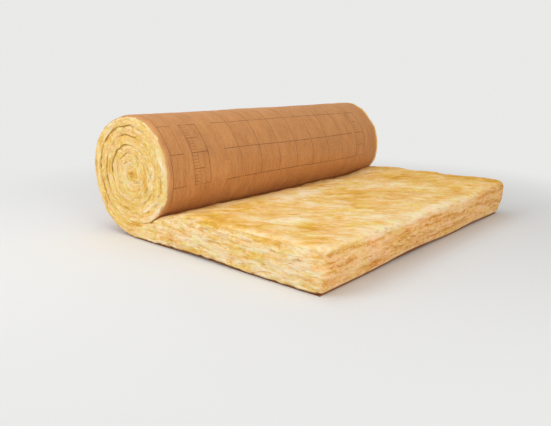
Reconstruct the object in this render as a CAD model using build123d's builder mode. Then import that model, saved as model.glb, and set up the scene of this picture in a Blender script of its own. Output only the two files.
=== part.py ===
"""Glass wool blanket with a kraft paper facing, part rolled up and part laid out flat.

The blanket is one strip of wool. It is wound from the eye outwards with its facing on the outside,
and its last stretch runs out flat under the roll, wool side up and facing down.
Sizes are millimetres. X runs from the roll to the free end, Y along the roll and Z up,
with the origin on the floor below the middle of the whole piece.
"""

import os

from build123d import *

# Wool strip
blanket_width = 1200.0
loft_thickness = 120.0  # where nothing presses on the wool
pressed_thickness = 50.0  # below the roll
flat_length = 738.0  # from below the eye to the lower edge of the free end
end_overhang = 19.0  # the free end's upper part stands out this far past its lower edge
end_round = 16.0  # of the free end's upper edge

# Winding, measured to the left of the eye, where nothing squashes it
turns = 7
eye_radius = 5.0
inner_pitch = 20.0
outer_pitch = 38.5
turn_gap = 1.2  # between the facing and the wool of the next turn

# Share of the round radius that the resting roll keeps on its other sides
under_squash = 0.86
right_squash = 0.93
top_squash = 0.93

# Flat stretch beside the roll
wedge_sweep = 38.0  # degrees that the wool follows the roll's underside before they part
loft_run = 200.0  # level distance in which the wool then rises to its full thickness

# Facing
facing_thickness = 0.8
glue_line = 0.1
near_margin = 4.0  # bare wool past the facing at the near end
far_margin = 13.0

# Places worked out from the sizes above
quarter = 90.0
floor_joint = 4 * turns + 1  # the strip reaches the floor a quarter turn past the left side
underside_joint = floor_joint - 4
squash = (1.0, under_squash, right_squash, top_squash)
spacing = glue_line + facing_thickness + turn_gap


def wound_radius(turn: float) -> float:
    """Distance from the eye to the facing side of the wool after that many turns, before it sags."""
    growth = (outer_pitch - inner_pitch) / turns
    return eye_radius + inner_pitch * turn + growth * turn**2 / 2


def joint_radius(joint: int) -> float:
    """The same distance at a joint between two quarter turns, on the roll as it rests."""
    if joint == floor_joint:
        return eye_height - facing_thickness - glue_line
    return wound_radius(joint / 4) * squash[joint % 4]


eye_height = joint_radius(underside_joint) + spacing + pressed_thickness + glue_line + facing_thickness
left_reach = joint_radius(4 * turns) + glue_line + facing_thickness
eye_x = (left_reach - flat_length - end_overhang) / 2
eye = (eye_x, eye_height)
free_end_x = eye_x + flat_length
wool_underside = facing_thickness + glue_line
end_bulge = (free_end_x + end_overhang, loft_thickness - end_round)


def quarter_arc(joint: int, clearance: float, sweep: float = quarter) -> Edge:
    """Arc of the winding from a joint towards the next, that far outside the wool's facing side."""
    here, after = joint_radius(joint) + clearance, joint_radius(joint + 1) + clearance
    across, upright = (here, after) if joint % 2 == 0 else (after, here)
    start = (180.0 + quarter * joint) % 360.0
    return EllipticalCenterArc(eye, across, upright, start_angle=start, arc_size=sweep)


def winding(last_joint: int, clearance: float) -> None:
    """All quarter arcs from the inner end of the strip to a joint."""
    for joint in range(last_joint):
        quarter_arc(joint, clearance)


# Glass wool blanket
with BuildPart() as glass_wool_blanket:
    with BuildSketch(Plane.XZ):
        with BuildLine():
            winding(floor_joint, 0.0)
            winding(underside_joint, spacing)
            under_roll = quarter_arc(underside_joint, spacing, wedge_sweep)
            wedge = under_roll @ 1
            full_loft = (wedge.X + loft_run, loft_thickness)
            TangentArc(full_loft, wedge, tangent=(-1, 0))
            top = Line(full_loft, (free_end_x + end_overhang - end_round, loft_thickness))
            TangentArc(top @ 1, end_bulge, tangent=(1, 0))
            TangentArc(end_bulge, (free_end_x, wool_underside), tangent=(0, -1))
            Line((free_end_x, wool_underside), (eye_x, wool_underside))
            Polyline(
                (eye_x - eye_radius, eye_height),
                (eye_x, eye_height),
                (eye_x, eye_height + turn_gap),
                (eye_x - eye_radius - spacing, eye_height + turn_gap),
                (eye_x - eye_radius - spacing, eye_height),
            )
        make_face()
    extrude(amount=blanket_width / 2, both=True)

# Kraft facing, glued to the outside of the winding and to the underside of the flat stretch
with BuildPart() as kraft_facing:
    with BuildSketch(Plane.XZ.offset(blanket_width / 2 - near_margin)):
        with BuildLine():
            winding(floor_joint, glue_line)
            winding(floor_joint, glue_line + facing_thickness)
            Line(
                (eye_x - eye_radius - glue_line, eye_height),
                (eye_x - eye_radius - glue_line - facing_thickness, eye_height),
            )
            Polyline((eye_x, facing_thickness), (free_end_x, facing_thickness), (free_end_x, 0), (eye_x, 0))
        make_face()
    extrude(amount=near_margin + far_margin - blanket_width)

glass_wool_blanket.part.label = "glass_wool_blanket"
kraft_facing.part.label = "kraft_facing"

os.makedirs("parts", exist_ok=True)
export_step(glass_wool_blanket.part, "parts/glass_wool_blanket.step")
export_step(kraft_facing.part, "parts/kraft_facing.step")
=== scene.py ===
"""Looks of a glass wool blanket with a kraft paper facing, part rolled up and part laid out flat.

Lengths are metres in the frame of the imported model: X runs from the roll to the free end, Y along
the roll and Z up. The wool and its facing are each made as a flat strip, which is then wound about
the eye of the roll. A place in the strip is given by how far it lies along the strip, how far from
the near cut end, and how high above the facing.
"""

import functools
import logging
import math
import random
from dataclasses import dataclass, field
from enum import Enum

import bmesh
import bpy
from bmesh.types import BMEdge, BMesh, BMVert
from bpy.types import Material, Mesh, MeshVertex, Object
from mathutils import Matrix, Vector, noise


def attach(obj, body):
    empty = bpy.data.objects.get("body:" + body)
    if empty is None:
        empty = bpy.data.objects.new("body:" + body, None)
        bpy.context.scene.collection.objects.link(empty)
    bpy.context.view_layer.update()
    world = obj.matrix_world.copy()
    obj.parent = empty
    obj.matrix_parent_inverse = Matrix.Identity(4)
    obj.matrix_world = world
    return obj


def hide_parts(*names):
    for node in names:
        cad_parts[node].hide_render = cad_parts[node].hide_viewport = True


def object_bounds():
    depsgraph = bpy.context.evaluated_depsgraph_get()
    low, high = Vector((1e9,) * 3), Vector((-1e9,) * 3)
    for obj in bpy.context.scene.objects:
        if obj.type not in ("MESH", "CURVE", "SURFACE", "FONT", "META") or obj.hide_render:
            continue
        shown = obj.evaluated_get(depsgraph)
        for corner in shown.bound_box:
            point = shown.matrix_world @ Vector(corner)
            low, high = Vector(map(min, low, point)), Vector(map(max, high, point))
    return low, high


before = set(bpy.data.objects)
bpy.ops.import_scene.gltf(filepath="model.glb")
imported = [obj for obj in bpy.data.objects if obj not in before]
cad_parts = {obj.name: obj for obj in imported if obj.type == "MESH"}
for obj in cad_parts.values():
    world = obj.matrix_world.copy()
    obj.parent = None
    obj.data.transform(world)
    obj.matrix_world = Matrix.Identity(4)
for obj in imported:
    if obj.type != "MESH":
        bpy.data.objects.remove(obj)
CAD_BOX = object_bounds()

LOG = logging.getLogger("insulation_roll")
BODY = "root"
MM = 0.001

Colour = tuple[float, float, float]
Point2 = tuple[float, float]
Point3 = tuple[float, float, float]
Socket = bpy.types.NodeSocket


class Slot(Enum):
    """Material slots of the record."""

    WOOL = "glass_wool"
    PAPER = "kraft_paper"


class Node(Enum):
    """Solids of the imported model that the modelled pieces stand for."""

    WOOL = "glass_wool_blanket"
    PAPER = "kraft_facing"


class Blend(Enum):
    """How a second colour goes into a first."""

    MIX = "MIX"
    TINT = "MULTIPLY"


def smoothstep(low: float, high: float, value: float) -> float:
    """Smooth rise from 0 at low to 1 at high."""
    share = min(max((value - low) / (high - low), 0.0), 1.0)
    return share * share * (3.0 - 2.0 * share)


def bell(value: float, middle: float, width: float) -> float:
    """Hump of height 1 at the middle that fades within about two widths."""
    return math.exp(-(((value - middle) / width) ** 2))


def mottle(x: float, y: float, z: float, octaves: int = 3) -> float:
    """Soft uneven field of about -1 to 1, with features one unit across."""
    return noise.fractal(Vector((x, y, z)), 1.0, 2.1, octaves)


@dataclass(frozen=True)
class Wave:
    """A soft uneven field with the sizes of its features."""

    sizes: Point3
    octaves: int = 2
    offset: Point3 = (0.0, 0.0, 0.0)  # added to the noise's coordinates

    def at(self, x: float, y: float, z: float = 0.0) -> float:
        """Value of the field at a place, from about -1 to 1."""
        places = zip((x, y, z), self.sizes, self.offset)
        return mottle(*(place / size + offset for place, size, offset in places), self.octaves)

    def ridged(self, x: float, y: float, z: float = 0.0) -> float:
        """The same field with sharp valleys, from about -0.5 upwards."""
        return 2.4 * abs(self.at(x, y, z)) - 0.55


def round_corner(depth_a: float, depth_b: float, radius: float) -> Point2:
    """Moves a point near the corner between two faces so that the corner becomes round.

    Args:
        depth_a: Distance of the point below the first face.
        depth_b: Distance of the point below the second face.
        radius: Radius of the rounded corner.

    Returns:
        The two distances after rounding.
    """
    if radius <= 0.0 or depth_a >= radius or depth_b >= radius:
        return depth_a, depth_b
    from_a, from_b = radius - depth_a, radius - depth_b
    scale = max(from_a, from_b) / math.hypot(from_a, from_b)
    return radius - from_a * scale, radius - from_b * scale


@dataclass(frozen=True)
class Section:
    """Section of the strip across the roll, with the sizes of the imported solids.

    A place along it is a turn, counted from the inner end to where the strip reaches the floor
    below the eye. Past that the count goes on in metres along the floor.
    """

    turns: int = 7
    eye_radius: float = 0.005
    eye_gap: float = 0.0004  # half width of the closed eye
    inner_pitch: float = 0.020
    outer_pitch: float = 0.0385
    paper: float = 0.0009  # facing with its glue line
    clearance: float = 0.0012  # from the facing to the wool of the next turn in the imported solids
    turn_gap: float = 0.0003  # the same here, where the wool fills it
    pressed: float = 0.050  # thickness below the roll
    loft: float = 0.120
    squash: tuple[float, float, float, float] = (1.0, 0.86, 0.93, 0.93)
    wedge_turn: float = 38.0 / 360.0
    loft_run: float = 0.200
    end_overhang: float = 0.019
    end_round: float = 0.016
    crowd_from: float = 0.38  # Y up to which the top keeps its even slope beside the roll
    crowd_full: float = 0.58  # Y from which the wool crowds against the roll
    crowd_share: float = 0.85  # of the room there that it fills
    swell: float = 8.0 * MM  # rise of the top at the far end
    corner_swell: float = 9.0 * MM  # added to that at the far corner
    swell_from: float = 0.36  # Y at which the rise starts beside the roll
    swell_sooner: float = 0.16  # by which it starts sooner well clear of the roll
    swell_full: float = 0.57

    @property
    def floor_turn(self) -> float:
        """Turn at which the strip reaches the floor."""
        return self.turns + 0.25

    @property
    def spacing(self) -> float:
        """Distance from the wool's facing side to the wool of the next turn."""
        return self.paper + self.turn_gap

    @property
    def eye(self) -> Point2:
        """Place of the eye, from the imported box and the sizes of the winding."""
        left_reach = self.joint_radius(4 * self.turns) + self.paper
        return CAD_BOX[0].x + left_reach, self.eye_height

    @property
    def eye_height(self) -> float:
        """Height of the eye above the floor."""
        below = self.clearance + self.pressed + 2.0 * self.paper
        return self.joint_radius(4 * self.turns - 3) + below

    @property
    def free_end(self) -> float:
        """X of the lower edge of the free end."""
        return CAD_BOX[1].x - self.end_overhang

    @property
    def last_turn(self) -> float:
        """Place of the free end along the strip."""
        return self.floor_turn + self.free_end - self.eye[0]

    def wound_radius(self, turn: float) -> float:
        """Distance from the eye to the facing side after that many turns, before the roll sags."""
        growth = (self.outer_pitch - self.inner_pitch) / self.turns
        return self.eye_radius + self.inner_pitch * turn + growth * turn * turn / 2.0

    def joint_radius(self, joint: int) -> float:
        """The same distance at a joint between two quarter turns, on the roll as it rests.

        Args:
            joint: Number of quarter turns from the inner end.

        Returns:
            The distance from the eye to the facing side.
        """
        if joint > 4 * self.turns:
            return self.eye_height - self.paper
        return self.wound_radius(joint / 4.0) * self.squash[joint % 4]

    def wound_point(self, turn: float, clearance: float) -> Point2:
        """Point of the winding, that far outside the wool's facing side.

        Args:
            turn: Place along the strip.
            clearance: Distance outside the facing side.

        Returns:
            The point's X and Z.
        """
        joint = min(int(turn * 4.0 + 1e-9), 4 * self.turns)
        here = self.joint_radius(joint) + clearance
        after = self.joint_radius(joint + 1) + clearance
        across, upright = (here, after) if joint % 2 == 0 else (after, here)
        angle = math.pi + math.tau * turn
        return self.eye[0] + across * math.cos(angle), self.eye[1] + upright * math.sin(angle)

    def facing_side(self, turn: float) -> Point2:
        """Point of the wool's facing side.

        Args:
            turn: Place along the strip.

        Returns:
            The point's X and Z.
        """
        if turn <= self.floor_turn:
            return self.wound_point(turn, 0.0)
        return self.eye[0] + turn - self.floor_turn, self.paper

    def wool_side(self, turn: float) -> Point2:
        """Point of the wool's other side, across the strip from the facing side.

        Args:
            turn: Place along the strip.

        Returns:
            The point's X and Z.
        """
        if turn < 1.0:
            gap = self.eye_gap + (self.eye_radius + self.spacing - self.eye_gap) * turn
            angle = math.pi + math.tau * turn
            return self.eye[0] + gap * math.cos(angle), self.eye[1] + gap * math.sin(angle)
        if turn <= self.floor_turn:
            return self.wound_point(turn - 1.0, self.spacing)
        x = self.eye[0] + turn - self.floor_turn
        return x, self.top_height(x)

    @functools.cached_property
    def wedge(self) -> Point2:
        """Point where the roll's underside and the flat wool part."""
        return self.wound_point(self.turns - 0.75 + self.wedge_turn, self.spacing)

    def top_height(self, x: float) -> float:
        """Height of the flat stretch above the floor, below the roll and past it.

        Args:
            x: Place across the roll.

        Returns:
            The height, which follows the roll's underside below it.
        """
        if x < self.wedge[0]:
            across = self.joint_radius(4 * self.turns - 2) + self.spacing
            upright = self.joint_radius(4 * self.turns - 3) + self.spacing
            return self.eye[1] - upright * math.sqrt(1.0 - ((x - self.eye[0]) / across) ** 2)
        rise = self.loft - self.wedge[1]
        radius = (self.loft_run**2 + rise**2) / (2.0 * rise)
        short = max(self.wedge[0] + self.loft_run - x, 0.0)
        return self.loft - radius + math.sqrt(radius**2 - short**2)

    def crowded_top(self, x: float, y: float) -> float:
        """Rise of the top near the far end, where the roll has sunk into the wool.

        Args:
            x: Place across the roll.
            y: Place along the roll.

        Returns:
            The rise, which is nothing below the roll and towards the near end.
        """
        crowd = smoothstep(self.crowd_from, self.crowd_full, y)
        if crowd == 0.0 or x < self.wedge[0]:
            return 0.0
        across = self.joint_radius(4 * self.turns - 2)
        upright = self.joint_radius(4 * self.turns - 3)
        inside = 1.0 - ((x - self.eye[0]) / across) ** 2
        roll = self.eye[1] - upright * math.sqrt(inside) if inside > 0.0 else self.eye[1]
        room = max(min(roll - 3.0 * self.clearance, self.loft) - self.top_height(x), 0.0)
        return self.crowd_share * crowd * room

    def far_swell(self, x: float, y: float) -> float:
        """Rise of the top towards the far end, most of it at the far corner.

        Args:
            x: Place across the roll.
            y: Place along the roll.

        Returns:
            The rise.
        """
        clear = smoothstep(self.wedge[0], self.wedge[0] + 0.10, x)
        sooner = smoothstep(self.wedge[0] + 0.10, self.wedge[0] + 0.28, x)
        start = self.swell_from - self.swell_sooner * sooner
        rise = self.swell + self.corner_swell * smoothstep(0.22, 0.43, x)
        return clear * rise * smoothstep(start, self.swell_full, y)

    def front_face(self, height: float) -> float:
        """X of the free end's face at a height, before its upper edge is rounded.

        Args:
            height: Height above the floor.

        Returns:
            The place across the roll.
        """
        shoulder = self.loft - self.end_round
        drop = shoulder - self.paper
        radius = (self.end_overhang**2 + drop**2) / (2.0 * self.end_overhang)
        below = max(shoulder - height, 0.0)
        return CAD_BOX[1].x - radius + math.sqrt(radius**2 - below**2)

    def thickness(self, turn: float) -> float:
        """Thickness of the wool at a place along the strip."""
        return math.dist(self.facing_side(turn), self.wool_side(turn))


@dataclass
class Strip:
    """The strip laid out flat, with the table that turns length along it into turns."""

    section: Section
    width: float = CAD_BOX[1].y - CAD_BOX[0].y
    near_end: float = CAD_BOX[0].y
    samples: int = 6000
    step: float = field(init=False)
    lengths: list[float] = field(init=False)

    def __post_init__(self) -> None:
        """Measures the facing side from the inner end to the free end."""
        self.step = self.section.last_turn / self.samples
        here = self.section.facing_side(0.0)
        self.lengths = [0.0]
        for index in range(1, self.samples + 1):
            there = self.section.facing_side(index * self.step)
            self.lengths.append(self.lengths[-1] + math.dist(here, there))
            here = there

    def length_at(self, turn: float) -> float:
        """Length along the strip at a turn.

        Args:
            turn: Place along the strip.

        Returns:
            The length from the inner end.
        """
        place = min(max(turn / self.step, 0.0), self.samples - 1e-6)
        index = int(place)
        low, high = self.lengths[index], self.lengths[index + 1]
        return low + (high - low) * (place - index)

    def stations(self, spacing: float, per_turn: int, first: float = 0.0) -> list[float]:
        """Turns at which the strip gets a row of vertices across it.

        Args:
            spacing: Distance between rows along the strip, in metres.
            per_turn: Least number of rows in one turn.
            first: Turn of the first row.

        Returns:
            The turns, with rows at the floor turn and at the free end.
        """
        section = self.section
        found = [first]
        while found[-1] < section.floor_turn:
            around = math.tau * max(section.wound_radius(found[-1]), section.eye_radius)
            found.append(found[-1] + min(spacing / around, 1.0 / per_turn))
        found[-1] = section.floor_turn
        flat = section.last_turn - section.floor_turn
        rows = round(flat / spacing)
        found.extend(section.floor_turn + flat * (row + 1) / rows for row in range(rows))
        return found


@dataclass(frozen=True)
class Sway:
    """Gentle unevenness of the whole roll, the same for the wool and its facing."""

    section: Section
    reach: float = 5.0 * MM
    wave: float = 0.085
    wave_along: float = 0.55
    floor_fade: float = 0.090
    ripple: float = 4.4 * MM
    ripple_wave: float = 0.034
    inner_turns: Point2 = (5.85, 6.30)  # from the last inner turn to the first outer one
    flat_x: Point2 = (0.06, 0.20)  # past the eye, where the flat stretch keeps still
    flat_z: Point2 = (0.06, 0.16)  # height up to which it does

    def inner_share(self, turn: float) -> float:
        """1 for places well inside the roll and 0 on its outer turn, counted on the facing side."""
        return 1.0 - smoothstep(*self.inner_turns, turn)

    def shift(self, x: float, y: float, z: float, inner: float) -> Point2:
        """Sideways and upward shift of a point of the roll.

        Args:
            x: Place across the roll.
            y: Place along the roll.
            z: Height above the floor.
            inner: 1 for a turn inside the roll, where the seams also ripple, and 0 for the outside.

        Returns:
            The shift along X and Z, which is nothing at the floor and on the flat stretch.
        """
        eye_x, eye_z = self.section.eye
        on_flat = smoothstep(eye_x + self.flat_x[0], eye_x + self.flat_x[1], x)
        beside = 1.0 - on_flat * (1.0 - smoothstep(*self.flat_z, z))
        middle = smoothstep(0.0, 0.03, math.hypot(x - eye_x, z - eye_z))
        weight = smoothstep(0.006, self.floor_fade, z) * beside * (0.3 + 0.7 * middle)
        place = (x / self.wave, y / self.wave_along, z / self.wave)
        across = self.reach * mottle(place[0] + 3.1, place[1], place[2] + 8.7, 2)
        upright = self.reach * mottle(place[0] + 17.3, place[1] + 4.0, place[2] + 1.9, 2)
        if inner > 0.0:
            fine_x, fine_z = x / self.ripple_wave, z / self.ripple_wave
            across += self.ripple * inner * mottle(fine_x, 2.0 + 3.0 * y, fine_z, 2)
            upright += self.ripple * inner * mottle(fine_x, 9.0 + 3.0 * y, fine_z, 2)
        return weight * across, weight * upright


@dataclass(frozen=True)
class Gape:
    """A stretch of seam that stands open on a cut end."""

    turn: float  # its middle, counted on the facing side of the inner turn
    reach: float  # half its length, in turns
    width: float  # roundness of the wool's rims beside it
    depth: float  # how dark its painted seam shade is, from 0 to 1

    def share(self, turn: float) -> float:
        """1 in the middle of the stretch, fading to 0 past its ends."""
        return math.exp(-(((turn - self.turn) / self.reach) ** 4))


@dataclass(frozen=True)
class Seams:
    """The seams between the turns as they show on the cut ends."""

    gapes: tuple[Gape, ...] = (
        Gape(5.93, 0.21, 3.6 * MM, 1.00),
        Gape(5.50, 0.06, 2.2 * MM, 0.40),
        Gape(5.02, 0.075, 6.5 * MM, 0.62),
        Gape(5.16, 0.07, 2.6 * MM, 0.40),
        Gape(4.78, 0.13, 2.4 * MM, 0.42),
        Gape(3.89, 0.15, 4.0 * MM, 0.88),
        Gape(4.12, 0.08, 2.2 * MM, 0.36),
        Gape(2.93, 0.15, 2.0 * MM, 0.36),
        Gape(2.40, 0.12, 1.6 * MM, 0.30),
    )
    far_shift: float = 0.37  # turns by which the gapes lie elsewhere on the far end
    closed_round: float = 0.5 * MM
    # least darkness of the painted seam shade, which closed seams keep
    closed_depth: float = 0.16
    lip: float = 0.6 * MM  # the wool bulges this far over the paper's edge where a seam is closed
    lip_depth: float = 4.0 * MM
    lip_share: float = 0.25  # of the wool's thickness, over which the bulge fades
    shade_reach: float = 1.7 * MM

    def gape(self, turn: float, far_side: bool) -> Point2:
        """How a seam stands open.

        Args:
            turn: Place of the seam, counted on the facing side of the inner turn.
            far_side: Whether the seam is seen on the far cut end.

        Returns:
            The roundness of the rims beside it, and how dark its painted shade is.
        """
        if turn < 0.0:
            return self.closed_round, 0.0
        wander = mottle(turn * turn * 2.3, 31.0 if far_side else 5.0, 0.0, 3)
        place = turn + (self.far_shift if far_side else 0.0) + 0.02 * wander
        widest = max(gape.share(place) * gape.width for gape in self.gapes)
        darkest = max(gape.share(place) * gape.depth for gape in self.gapes)
        uneven = min(max(0.85 + 0.85 * wander, 0.25), 1.25)
        return max(widest * uneven, self.closed_round), max(darkest * uneven, self.closed_depth)

    def closed(self, rounding: float) -> float:
        """How far the rims meet over the paper's edge, from 0 to 1."""
        return 1.0 - smoothstep(self.closed_round, 2.0 * MM, rounding)

    def shade(self, rounding: float, depth: float, from_rim: float) -> float:
        """How much of a seam's painted olive shade shows at a distance from it."""
        reach = self.shade_reach + 0.55 * rounding
        return depth * math.exp(-((from_rim / reach) ** 1.5))


@dataclass(frozen=True)
class Edges:
    """Roundness of the wool's edges along the strip."""

    section: Section
    seams: Seams = Seams()
    shoulder: float = 17.0 * MM  # outer rim of the roll at its near end
    back_shoulder: float = 5.0 * MM  # the same on the side away from the flat stretch
    far_shoulder: float = 5.0 * MM
    flat_top: float = 24.0 * MM
    flat_far_top: float = 11.0 * MM
    flat_bottom: float = 8.5 * MM
    front_side: float = 20.0 * MM
    front_top: float = 26.0 * MM
    seam_share: float = 0.42
    shoulder_share: float = 0.62
    outer_from: Point2 = (-0.67, -0.60)  # where the paper starts to show, from the last whole turn
    back_from: Point2 = (-0.26, -0.10)  # where the roll turns its back to the flat stretch

    def exposed(self, turn: float) -> float:
        """1 on the outer turn, where the paper shows, and 0 on the turns inside it."""
        return smoothstep(*self.outer_from, turn - self.section.turns)

    def grounded(self, turn: float) -> float:
        """1 where the strip lies on the floor."""
        return smoothstep(self.section.turns + 0.03, self.section.floor_turn, turn)

    def facing_round(self, turn: float, far_side: bool) -> float:
        """Radius of the edge between a cut end and the facing side.

        Args:
            turn: Place along the strip.
            far_side: Whether the far cut end is meant.

        Returns:
            The radius.
        """
        thickness = self.section.thickness(turn)
        seam = min(self.seams.gape(turn, far_side)[0], self.seam_share * thickness)
        shoulder = self.far_shoulder if far_side else self.near_shoulder(turn)
        shoulder = min(shoulder, self.shoulder_share * thickness)
        radius = seam + (shoulder - seam) * self.exposed(turn)
        return radius + (self.flat_bottom - radius) * self.grounded(turn)

    def near_shoulder(self, turn: float) -> float:
        """Radius of the outer rim at the near end."""
        back = smoothstep(*self.back_from, turn - self.section.turns)
        return self.shoulder + (self.back_shoulder - self.shoulder) * back

    def wool_round(self, turn: float, far_side: bool) -> float:
        """Radius of the edge between a cut end and the side without facing.

        Args:
            turn: Place along the strip.
            far_side: Whether the far cut end is meant.

        Returns:
            The radius.
        """
        thickness = self.section.thickness(turn)
        seam = min(self.seams.gape(turn - 1.0, far_side)[0], self.seam_share * thickness)
        flat = smoothstep(self.section.floor_turn, self.section.floor_turn + 0.15, turn)
        return seam + ((self.flat_far_top if far_side else self.flat_top) - seam) * flat


@dataclass(frozen=True)
class Facets:
    """How finely the wool strip is divided."""

    spacing: float = 5.8 * MM
    per_turn: int = 48
    rows: int = 15
    rim_columns: tuple[float, ...] = (0.0, 0.0025, 0.006, 0.011, 0.017, 0.030)
    flat_spacing: float = 5.2 * MM


@dataclass(frozen=True)
class Patch:
    """A patch of wool that is deeper or paler than the rest."""

    place: Point2  # its middle, in the plane of the face
    size: Point2  # half its length and half its width
    tone: float  # 1 for golden and -1 for pale
    turned: float = 0.0  # degrees from the face's first axis to its length

    def share(self, first: float, second: float) -> float:
        """How strongly the patch shows at a place of the face.

        Args:
            first: Place along the face's first axis.
            second: Place along its second axis.

        Returns:
            The patch's tone there, which fades to nothing past its ends.
        """
        turn = math.radians(self.turned)
        first, second = first - self.place[0], second - self.place[1]
        along = (first * math.cos(turn) + second * math.sin(turn)) / self.size[0]
        across = (second * math.cos(turn) - first * math.sin(turn)) / self.size[1]
        return self.tone * math.exp(-((along * along + across * across) ** 1.5))


@dataclass(frozen=True)
class Tones:
    """Where the wool is golden and where it is pale, beside its even mottle."""

    section: Section = Section()
    top: tuple[Patch, ...] = (
        Patch((0.150, -0.560), (0.170, 0.045), 0.8),
        Patch((0.330, -0.455), (0.055, 0.045), 0.6, 30.0),
        Patch((0.400, -0.555), (0.060, 0.045), 0.8, 20.0),
        Patch((0.020, -0.360), (0.100, 0.035), 0.7, 90.0),
        Patch((0.150, -0.440), (0.080, 0.040), 0.5, 50.0),
        Patch((0.120, 0.010), (0.075, 0.045), 0.55, 70.0),
        Patch((0.310, -0.150), (0.050, 0.035), 0.8, 40.0),
        Patch((0.360, 0.350), (0.090, 0.045), 0.3, 20.0),
        Patch((0.120, 0.420), (0.130, 0.055), 0.5, 40.0),
        Patch((0.220, 0.560), (0.300, 0.040), 0.5),
        Patch((0.200, 0.430), (0.420, 0.190), 0.25),
        Patch((0.410, -0.190), (0.095, 0.034), -1.1, 49.0),
        Patch((0.250, -0.410), (0.055, 0.024), -1.0, 60.0),
        Patch((0.030, -0.150), (0.130, 0.045), -0.9, 90.0),
        Patch((0.170, -0.110), (0.075, 0.024), -0.6),
        Patch((0.160, 0.210), (0.090, 0.048), -0.45, 80.0),
        Patch((0.310, 0.270), (0.090, 0.022), -0.4, 5.0),
        Patch((0.465, -0.080), (0.440, 0.026), -0.9, 90.0),
        Patch((0.120, -0.490), (0.034, 0.026), -0.8, 45.0),
        Patch((0.450, -0.575), (0.035, 0.030), -0.7, 60.0),
    )
    side: tuple[Patch, ...] = (
        Patch((0.090, 0.110), (0.060, 0.013), 0.7),
        Patch((0.300, 0.106), (0.055, 0.012), 0.5),
        Patch((0.275, 0.062), (0.045, 0.010), 0.6, 5.0),
        Patch((0.190, 0.038), (0.022, 0.008), 0.6),
        Patch((0.405, 0.075), (0.055, 0.045), -0.55, 90.0),
        Patch((0.290, 0.086), (0.060, 0.011), -0.5),
        Patch((0.050, 0.040), (0.110, 0.018), -0.55),
        Patch((-0.140, 0.030), (0.080, 0.016), -0.50, 8.0),
        Patch((-0.070, 0.070), (0.070, 0.012), -0.5, 12.0),
        Patch((0.330, 0.030), (0.150, 0.016), -0.55),
    )
    end: tuple[Patch, ...] = (
        Patch((0.004, -0.005), (0.034, 0.017), 0.9),
        Patch((0.066, -0.012), (0.028, 0.009), 0.9, 100.0),
        Patch((0.030, -0.043), (0.030, 0.008), 0.4, 20.0),
        Patch((-0.004, -0.162), (0.045, 0.007), 1.1, 5.0),
        Patch((-0.112, 0.100), (0.024, 0.010), 0.7, 35.0),
        Patch((-0.126, 0.015), (0.034, 0.008), 0.8, 90.0),
        Patch((0.140, -0.020), (0.030, 0.008), 0.6, 100.0),
        Patch((0.140, 0.062), (0.034, 0.012), -0.9, 110.0),
        Patch((-0.120, 0.125), (0.040, 0.012), -0.9, 50.0),
        Patch((-0.186, 0.010), (0.080, 0.010), -0.6, 90.0),
        Patch((-0.034, -0.030), (0.022, 0.014), -0.7, 150.0),
        Patch((0.000, -0.120), (0.070, 0.030), 0.35),
        Patch((-0.020, 0.118), (0.060, 0.018), 0.25),
        Patch((0.010, 0.172), (0.065, 0.013), -0.45),
        Patch((0.125, 0.125), (0.070, 0.018), -0.45, 135.0),
        Patch((0.164, 0.000), (0.085, 0.015), -0.55, 92.0),
        Patch((0.115, -0.085), (0.045, 0.018), -0.40, 60.0),
        Patch((0.090, -0.010), (0.050, 0.010), -0.50, 95.0),
        Patch((-0.088, 0.010), (0.045, 0.012), -0.50, 90.0),
        Patch((0.035, -0.010), (0.040, 0.016), -0.40, 95.0),
    )
    warp: float = 22.0 * MM  # how far the patches' outlines wander
    warp_wave: float = 0.045
    fine_warp: float = 0.25  # share of it across the layers
    end_reach: Point2 = (0.19, 0.22)  # from the eye to where the roll's end gives way to the side
    flat_below: float = 0.16  # height that the flat stretch stays below

    def tone(self, co: Vector, normal: Vector) -> float:
        """Tone of a point of the wool, from -1, pale, to 1, golden.

        Args:
            co: Point of the even shape.
            normal: Direction that the wool faces there.

        Returns:
            The tone, which is nothing on faces that have no patches.
        """
        x, z = co.x - self.section.eye[0], co.z - self.section.eye[1]
        wave = self.warp_wave
        first = self.warp * mottle(co.x / wave, co.y / wave, 3.0 + co.z / wave, 2)
        second = self.warp * mottle(co.x / wave + 9.0, co.y / wave, co.z / wave, 2)
        near, beside = smoothstep(-0.3, -0.8, normal.y), smoothstep(*self.end_reach, abs(x))
        on_side, on_end = near * beside, near * (1.0 - beside)
        on_top = smoothstep(0.3, 0.8, normal.z) * smoothstep(-0.60, -0.58, co.y)
        across, flat = self.fine_warp * second, co.z < self.flat_below
        total = 0.0
        if on_side > 0.0 and flat:
            total += on_side * sum(p.share(co.x + first, co.z + across) for p in self.side)
        if on_end > 0.0:
            along = self.fine_warp * first
            total += on_end * sum(p.share(x + along, z + across) for p in self.end)
        if on_top > 0.0 and flat:
            total += on_top * sum(p.share(co.x + first, co.y + second) for p in self.top)
        return min(max(total, -1.0), 1.0)


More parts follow.
